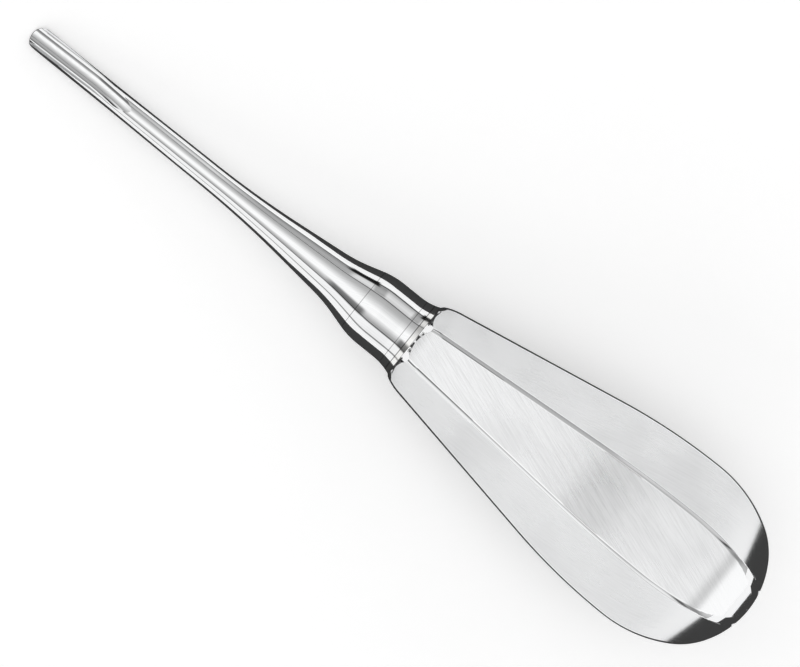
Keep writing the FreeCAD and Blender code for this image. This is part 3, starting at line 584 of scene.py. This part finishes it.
def make_shell(name, rows, node_name, material):
    """A half shell or the weld between them: rows of ring points, given a wall inwards
    and closed along its edges."""
    columns = len(rows[0])
    outer = [item for row in rows for item in row]
    points = [item[0] for item in outer]
    normals = [item[1] for item in outer]
    ground = [item[2] for item in outer]
    lengths = [math.sqrt(sum(c * c for c in n)) for n in normals]
    count = len(points)
    points += [
        tuple(c - SHELL_WALL * d / length for c, d in zip(p, n))
        for p, n, length in zip(points, normals, lengths)
    ]
    normals += [tuple(-c for c in n) for n in normals]
    ground += ground
    faces = []
    for row in range(len(rows) - 1):
        for column in range(columns - 1):
            a = row * columns + column
            b, c, d = a + columns, a + columns + 1, a + 1
            faces.append((a, d, c, b))
            faces.append((count + a, count + b, count + c, count + d))
    last = (len(rows) - 1) * columns
    edge = (
        [column for column in range(columns)]
        + [row * columns + columns - 1 for row in range(1, len(rows))]
        + [last + column for column in range(columns - 2, -1, -1)]
        + [row * columns for row in range(len(rows) - 2, 0, -1)]
    )
    for first, second in zip(edge, edge[1:] + edge[:1]):
        faces.append((second, first, count + first, count + second))
    return make_piece(name, points, faces, normals, [node_name], material, {"ground": ground})


def make_handle():
    """Top shell, bottom shell and weld, from the same rings."""
    places = handle_places()
    rings = [facet_ring(x) for x in places]
    half = len(rings[0]) // 2
    pole_x = BUTT - POLE_GAP
    for name, part, side in (
        ("ground_top_shell", slice(0, half), 1), ("ground_bottom_shell", slice(half, None), -1)
    ):
        rows = [ring[part] for ring in rings]
        rows.append([((pole_x, 0.0, side * HALF_WELD), (1.0, 0.0, 0.02 * side), 0.0)] * half)
        node = "handle_shell_top" if side > 0 else "handle_shell_bottom"
        make_shell(name, rows, node, satin)
    right = [[ring[-1], ring[0]] for ring in rings]
    left = [[ring[half], ring[half - 1]] for ring in rings]
    tip = [((pole_x, 0.0, side * HALF_WELD), (1.0, 0.0, 0.0), 0.0) for side in (-1, 1)]
    make_shell("dressed_weld", right + [tip] + left[::-1], "seam_weld", weld_steel)


# ---------------------------------------------------------------- shank
def bend(before, corner, after, radius):
    """Centre and end places of the arc that rounds a corner which turns outwards."""
    into = math.atan2(corner[1] - before[1], corner[0] - before[0])
    out = math.atan2(after[1] - corner[1], after[0] - corner[0])
    back = radius * math.tan((out - into) / 2)
    start = (corner[0] - back * math.cos(into), corner[1] - back * math.sin(into))
    centre = (start[0] - radius * math.sin(into), start[1] + radius * math.cos(into))
    return centre, start[0], corner[0] + back * math.cos(out)


CORNERS = [
    (BLADE_LENGTH, BLADE_RADIUS), (SLIM_END, SLIM_RADIUS), (CONE_END, CONE_RADIUS),
    (CREASE_AT, CREASE_RADIUS),
]
SWELL = bend(CORNERS[0], CORNERS[1], CORNERS[2], SWELL_RADIUS)
FLARE = bend(CORNERS[1], CORNERS[2], CORNERS[3], FLARE_RADIUS)
CROWN_RISE = COLLAR_RADIUS - CREASE_RADIUS
CROWN_RADIUS = ((COLLAR_START - CREASE_AT) ** 2 + CROWN_RISE**2) / (2 * CROWN_RISE)


def shank_height(x):
    """Turned radius of the shank from the blade to the flange."""
    if x < BLADE_LENGTH:
        return BLADE_RADIUS
    for (centre, first, last), radius in ((SWELL, SWELL_RADIUS), (FLARE, FLARE_RADIUS)):
        if first < x < last:
            return centre[1] - math.sqrt(radius**2 - (x - centre[0]) ** 2)
    for before, after in zip(CORNERS, CORNERS[1:]):
        if x < after[0]:
            share = (x - before[0]) / (after[0] - before[0])
            return before[1] + share * (after[1] - before[1])
    if x < COLLAR_START:
        return arc_height(x, COLLAR_START, COLLAR_RADIUS - CROWN_RADIUS, CROWN_RADIUS)
    if x < COLLAR_END:
        return COLLAR_RADIUS
    return neck_height(x)


HOLLOW_AXIS = HOLLOW_FLOOR + HOLLOW_RADIUS / math.cos(HOLLOW_SLOPE)
BEVEL_SLOPE = (BLADE_RADIUS + HOLLOW_FLOOR - EDGE_THICKNESS) / HEEL_AT
BEVEL_RADIUS = (HOLLOW_RADIUS + EDGE_THICKNESS) * math.sqrt(1 + BEVEL_SLOPE**2)
TIP_BLEND = 6.0
BLADE_ROLL = math.radians(12.0)
ROLL_END = 21.0
RUNOUT_END = 21.5


def hollow_height(x):
    """Height of the round cutter's centre that ground the hollow."""
    if x < HOLLOW_STRAIGHT:
        return HOLLOW_AXIS + x * math.tan(HOLLOW_SLOPE)
    start = HOLLOW_AXIS + HOLLOW_STRAIGHT * math.tan(HOLLOW_SLOPE)
    centre_x = HOLLOW_STRAIGHT - HOLLOW_RUNOUT * math.sin(HOLLOW_SLOPE)
    centre_z = start + HOLLOW_RUNOUT * math.cos(HOLLOW_SLOPE)
    return centre_z - math.sqrt(max(HOLLOW_RUNOUT**2 - (x - centre_x) ** 2, 0.0))


def trough_height(x):
    """Height of the centre of the bevel on the blade's back."""
    return HOLLOW_FLOOR - EDGE_THICKNESS + BEVEL_RADIUS - BEVEL_SLOPE * x


def meeting_height(radius, centre, other_radius):
    """Height at which a circle round the axis meets one centred above it."""
    return (radius**2 - other_radius**2 + centre**2) / (2 * centre)


SIDE_STEPS = 44
BACK_STEPS = 20
BACK_END = 2 * (SIDE_STEPS + BACK_STEPS)
SKIN_COLUMNS = 2 * BACK_END


def skin_limits(x):
    """Radius at x, and the angles at which the hollow's rim and the bevel's foot lie."""
    radius = shank_height(x)
    rim, low = radius, -radius
    if hollow_height(x) - HOLLOW_RADIUS < radius:
        rim = min(radius, meeting_height(radius, hollow_height(x), HOLLOW_RADIUS))
    if x < HEEL_AT:
        low = max(low, meeting_height(radius, trough_height(x), BEVEL_RADIUS))
    return radius, math.asin(rim / radius), math.asin(low / radius)


def skin_point(x, column):
    """A point (y, z) of the shank's skin, turned with the blade, whose hollow faces a
    little to one side."""
    roll = BLADE_ROLL * min(1.0, max(0.0, (ROLL_END - x) / (ROLL_END - HOLLOW_STRAIGHT)))
    y, z = level_point(x, column)
    return y * math.cos(roll) + z * math.sin(roll), z * math.cos(roll) - y * math.sin(roll)


def level_point(x, column):
    """The same point before the roll. The columns run round the back from the +Y rim to
    the -Y rim, and then through the hollow back to the +Y rim."""
    radius, rim, foot = skin_limits(x)
    if column > BACK_END:
        rim_y = radius * math.cos(rim)
        if rim_y < 1e-6:
            return 0.0, radius
        reach = math.asin(min(rim_y / HOLLOW_RADIUS, 1.0))
        if hollow_height(x) < radius * math.sin(rim):
            reach = math.pi - reach
        lean = reach * (2 * (column - BACK_END) / (SKIN_COLUMNS - BACK_END) - 1)
        return HOLLOW_RADIUS * math.sin(lean), hollow_height(x) - HOLLOW_RADIUS * math.cos(lean)
    side = 1 if 2 * column <= BACK_END else -1
    step = column if side > 0 else BACK_END - column
    if step <= SIDE_STEPS:
        angle = rim + (foot - rim) * step / SIDE_STEPS
        return side * radius * math.cos(angle), radius * math.sin(angle)
    foot_y = radius * math.cos(foot)
    y = foot_y * math.cos(math.pi / 2 * (step - SIDE_STEPS) / BACK_STEPS)
    if foot_y < 1e-6:
        return 0.0, -radius
    return side * y, trough_height(x) - math.sqrt(BEVEL_RADIUS**2 - y**2)


# The honed edge round the tip, which fades out over some columns towards each rim.
HONE_WIDTH = 0.10
HONE_DEPTH = 0.15
HONE_FADE = 16


def tip_setback(y):
    """How far the round tip of the blade lies behind its foremost point."""
    return BLADE_RADIUS - math.sqrt(max(BLADE_RADIUS**2 - y**2, 0.0))


def skin_row(x):
    """One row of the skin. In the first stretch the rows curve back with the round tip,
    and the very first rows drop the hollow to the honed edge."""
    row = []
    for column in range(SKIN_COLUMNS):
        place = x
        if x < TIP_BLEND:
            for _ in range(6):
                y = skin_point(place, column)[0]
                place = x + tip_setback(y) * (1 - x / TIP_BLEND)
        y, z = skin_point(place, column)
        if column > BACK_END:
            inwards = min(column - BACK_END, SKIN_COLUMNS - column)
            drop = HONE_DEPTH * max(0.0, 1 - x / HONE_WIDTH)
            z -= drop * min(1.0, inwards / HONE_FADE)
        row.append((place, y, z))
    return row


def edge_strip(points, back, hollow):
    """Triangles between the back's and the hollow's edges, which share both ends."""
    strip = []
    i = j = 0
    while i < len(back) - 1 or j < len(hollow) - 1:
        back_next = points[back[i + 1]][1] if i < len(back) - 1 else -math.inf
        hollow_next = points[hollow[j + 1]][1] if j < len(hollow) - 1 else -math.inf
        if back_next >= hollow_next:
            strip.append((back[i], back[i + 1], hollow[j]))
            i += 1
        else:
            strip.append((back[i], hollow[j + 1], hollow[j]))
            j += 1
    return [face for face in strip if len(set(face)) == 3]


def make_shank():
    """Blade, slim shank, cone, collar, flange and tang in one closed skin."""
    places = stations(
        (0.0, HONE_WIDTH, 2), (HONE_WIDTH, 1.0, 16), (1.0, HEEL_AT, 40),
        (HEEL_AT, BLADE_LENGTH, 30), (BLADE_LENGTH, RUNOUT_END, 70), (RUNOUT_END, SLIM_END, 30),
        (SLIM_END, FLARE[1], 24), (FLARE[1], FLARE[2], 20), (FLARE[2], CREASE_AT, 6),
        (CREASE_AT, COLLAR_START, 24), (COLLAR_START, COLLAR_END, 8),
        (COLLAR_END, FLANGE_AT, 20),
    ) + [FLANGE_AT]
    rows = [skin_row(x) for x in places]
    rim = rows[-1]
    for x, radius in ((FLANGE_AT, TANG_RADIUS), (TANG_END, TANG_RADIUS), (TANG_END, 0.0)):
        scale = radius / shank_height(FLANGE_AT)
        rows.append([(x, y * scale, z * scale) for _, y, z in rim])
    points = [point for row in rows for point in row]
    faces = []
    for start in range(0, len(points) - SKIN_COLUMNS, SKIN_COLUMNS):
        for column in range(SKIN_COLUMNS):
            a, b = start + column, start + (column + 1) % SKIN_COLUMNS
            faces.append((a, a + SKIN_COLUMNS, b + SKIN_COLUMNS, b))
    back = list(range(BACK_END + 1))
    hollow = [0] + list(range(SKIN_COLUMNS - 1, BACK_END - 1, -1))
    faces += edge_strip(points, back, hollow)
    return make_piece("ground_shank", points, faces, None, ["shank"], polished)


make_handle()
make_shank()

# ---------------------------------------------------------------- stage
scene.view_settings.view_transform = "Standard"


def add_sheet(name, half_outline, height, material):
    """A flat sheet, from the corners (x, y) of its +Y half."""
    mesh = bpy.data.meshes.new(name)
    outline = half_outline + [(x, -y) for x, y in half_outline[::-1]]
    mesh.from_pydata([(x, -y, height) for x, y in outline], [], [range(len(outline))])
    mesh.materials.append(material)
    sheet = bpy.data.objects.new(name, mesh)
    scene.collection.objects.link(sheet)
    return sheet


def make_card(name, colour):
    """Matt paper, with a little unevenness in its colour."""
    material = bpy.data.materials.new(name)
    material.use_nodes = True
    tree = Tree(material.node_tree)
    sockets = material.node_tree.nodes["Principled BSDF"].inputs
    point = tree.add("ShaderNodeTexCoord").outputs["Object"]
    fibre = tree.add("ShaderNodeTexNoise", {"Vector": point, "Scale": 400.0, "Detail": 3.0})
    shade = tree.mix(fibre.outputs["Fac"], 0.99 * colour, 1.01 * colour)
    tree.put(sockets["Base Color"], shade)
    sockets["Roughness"].default_value = 0.9
    sockets["Specular IOR Level"].default_value = 0.0
    return material, tree, sockets


# The floor glows a little to the camera and in reflections, and lights nothing itself.
FLOOR_GLOW = 0.34
paper, tree, sockets = make_card("floor_paper", 0.95)
path = tree.add("ShaderNodeLightPath").outputs
reflected = tree.math("MAXIMUM", path["Is Glossy Ray"], path["Is Transmission Ray"])
seen = tree.math("MAXIMUM", path["Is Camera Ray"], reflected)
sockets["Emission Color"].default_value = (1.0, 1.0, 1.0, 1.0)
tree.put(sockets["Emission Strength"], tree.math("MULTIPLY", seen, FLOOR_GLOW))
add_sheet("floor", [(-4.0, 4.0), (4.0, 4.0)], 0.0, paper)


def add_card(name, half_outline, height, colour):
    """A card that only shows as a reflection in the steel."""
    card = add_sheet(name, half_outline, height, make_card(name + "_paper", colour)[0])
    card.visible_camera = False
    card.visible_shadow = False
    card.visible_diffuse = False


# The dark card lies on the floor under the tool, narrow at the blade and wide at the handle.
DARK_CARD = [
    (-0.085, 0.012), (-0.042, 0.011), (-0.020, 0.020), (-0.005, 0.070), (0.138, 0.070)
]
add_card("dark_card", DARK_CARD, 0.0001, 0.075)
# The overhead card hangs above the handle and gives the top flat its grey cloud.
OVERHEAD_HALF_LENGTH, OVERHEAD_HALF_WIDTH = 0.014, 0.030
overhead = tool_point(90.0, 0.0, 150.0)
ends = (overhead.x - OVERHEAD_HALF_LENGTH, overhead.x + OVERHEAD_HALF_LENGTH)
add_card("overhead_card", [(x, OVERHEAD_HALF_WIDTH) for x in ends], overhead.z, 0.70)

# ---------------------------------------------------------------- studio light
def make_light_flag():
    """A dark strip hung in the light tent between two angles across and two along."""
    group = Group(
        "light_flag",
        {
            "Across": 0.0, "Along": 0.0, "Across From": -200.0, "Across To": 200.0,
            "Along From": -200.0, "Along To": 200.0, "Edge": 1.0, "Shade": 0.1,
        },
        ("Light",),
    )
    given = group.given
    parts = []
    for angle in ("Across", "Along"):
        for limit, sign in (("From", 1), ("To", -1)):
            inside = group.math("SUBTRACT", given[angle], given[f"{angle} {limit}"])
            rise = group.math("DIVIDE", group.math("MULTIPLY", inside, sign), given["Edge"])
            parts.append(group.step(rise, -1.0, 1.0))
    both = group.math("MULTIPLY", parts[0], parts[1])
    both = group.math("MULTIPLY", both, group.math("MULTIPLY", parts[2], parts[3]))
    group.give("Light", group.mix(both, 1.0, given["Shade"]))
    return group.tree


world = bpy.data.worlds.new("studio")
world.use_nodes = True
scene.world = world
background = world.node_tree.nodes["Background"]
sky = Tree(world.node_tree)
direction = sky.add("ShaderNodeTexCoord").outputs["Generated"]
levelled = sky.add(
    "ShaderNodeVectorRotate", {"Vector": direction, "Angle": REST_ANGLE}, rotation_type="Y_AXIS"
)
parts = sky.add("ShaderNodeSeparateXYZ", {"Vector": levelled.outputs[0]}).outputs
above = sky.math("MAXIMUM", parts["Z"], 0.0)
below = sky.math("MINIMUM", parts["Z"], 0.0)
lengthwise = sky.math("POWER", sky.math("ABSOLUTE", parts["X"]), 4.0)
sideways = sky.math("MULTIPLY", parts["Y"], -1.0)
upwards = sky.math("ADD", parts["Z"], lengthwise)
across = sky.math("DEGREES", sky.math("ARCTAN2", sideways, upwards))
squares = sky.math("MULTIPLY_ADD", parts["Y"], parts["Y"], sky.math("MULTIPLY", above, above))
level = sky.math("ADD", sky.math("SQRT", squares), below)
along = sky.math("DEGREES", sky.math("ARCTAN2", parts["X"], level))
# Panels of the tent: (angle in degrees, brightness), across the tool and along it.
REACH = 120.0
PANELS_ACROSS = [
    (-84, 1.0), (-76, 0.40), (-66, 0.66), (-56, 0.77), (-47, 0.66), (-40, 0.42), (-28, 0.50),
    (-10, 0.82), (-2, 1.0), (16, 1.0), (25, 0.70), (36, 0.42), (43, 0.42), (47, 0.95),
    (72, 0.90), (84, 0.95),
]
PANELS_ALONG = [
    (-90, 1.0), (-76, 0.8), (-46, 0.8), (-40, 1.0), (-4, 1.0), (4, 0.92), (48, 0.92), (54, 0.6),
    (58, 0.6), (64, 1.0),
]
# Each flag: across from, across to, along from, along to, width of its edge, shade.
FLAGS = [
    (-80.5, -76.5, -200, 200, 0.8, 0.05),
    (-44.5, -41.5, -200, 200, 0.8, 0.15),
    (40.5, 44.5, -200, 200, 1.0, 0.25),
    (74, 79, -200, 200, 1.0, 0.25),
    (-92, -68, -60, -20, 2.5, 0.05),
    (22, 46, -60, -19, 5.0, 0.35),
    (-75, -46, -26, -9, 3.0, 0.55),
    (-200, 200, -80, -77, 0.8, 0.05),
]


def angle_ramp(angle, panels):
    """Brightness of the panels by their angle in degrees, between -REACH and REACH."""
    place = sky.math("MULTIPLY_ADD", angle, 1 / (2 * REACH), 0.5)
    return sky.ramp(place, [((degrees + REACH) / (2 * REACH), value) for degrees, value in panels])


light = sky.math("MULTIPLY", angle_ramp(across, PANELS_ACROSS), angle_ramp(along, PANELS_ALONG))
light_flag = make_light_flag()
for across_from, across_to, along_from, along_to, edge, shade in FLAGS:
    flag = sky.use(light_flag, {
        "Across": across, "Along": along, "Across From": across_from, "Across To": across_to,
        "Along From": along_from, "Along To": along_to, "Edge": edge, "Shade": shade,
    })
    light = sky.math("MULTIPLY", light, flag["Light"])
sky.put(background.inputs["Color"], light)
background.inputs["Strength"].default_value = 1.08

# ---------------------------------------------------------------- camera
CAMERA_DISTANCE = 0.350
AXIS_RIGHT, AXIS_DOWN = 0.778, 0.628
camera_data = bpy.data.cameras.new("camera")
camera_data.sensor_width = 36.0
camera_data.lens = 103.4
camera_data.clip_start = 0.01
camera_data.dof.use_dof = False
camera = bpy.data.objects.new("camera", camera_data)
aim = tool_point(72.47, -0.5, 0.0)
toward_camera = tool_direction(0, 0, 1)
right = tool_direction(AXIS_RIGHT, AXIS_DOWN, 0)
up = tool_direction(-AXIS_DOWN, AXIS_RIGHT, 0)
turn = Matrix((right, up, toward_camera)).transposed()
camera.matrix_world = Matrix.Translation(aim + toward_camera * CAMERA_DISTANCE) @ turn.to_4x4()
scene.collection.objects.link(camera)
scene.camera = camera
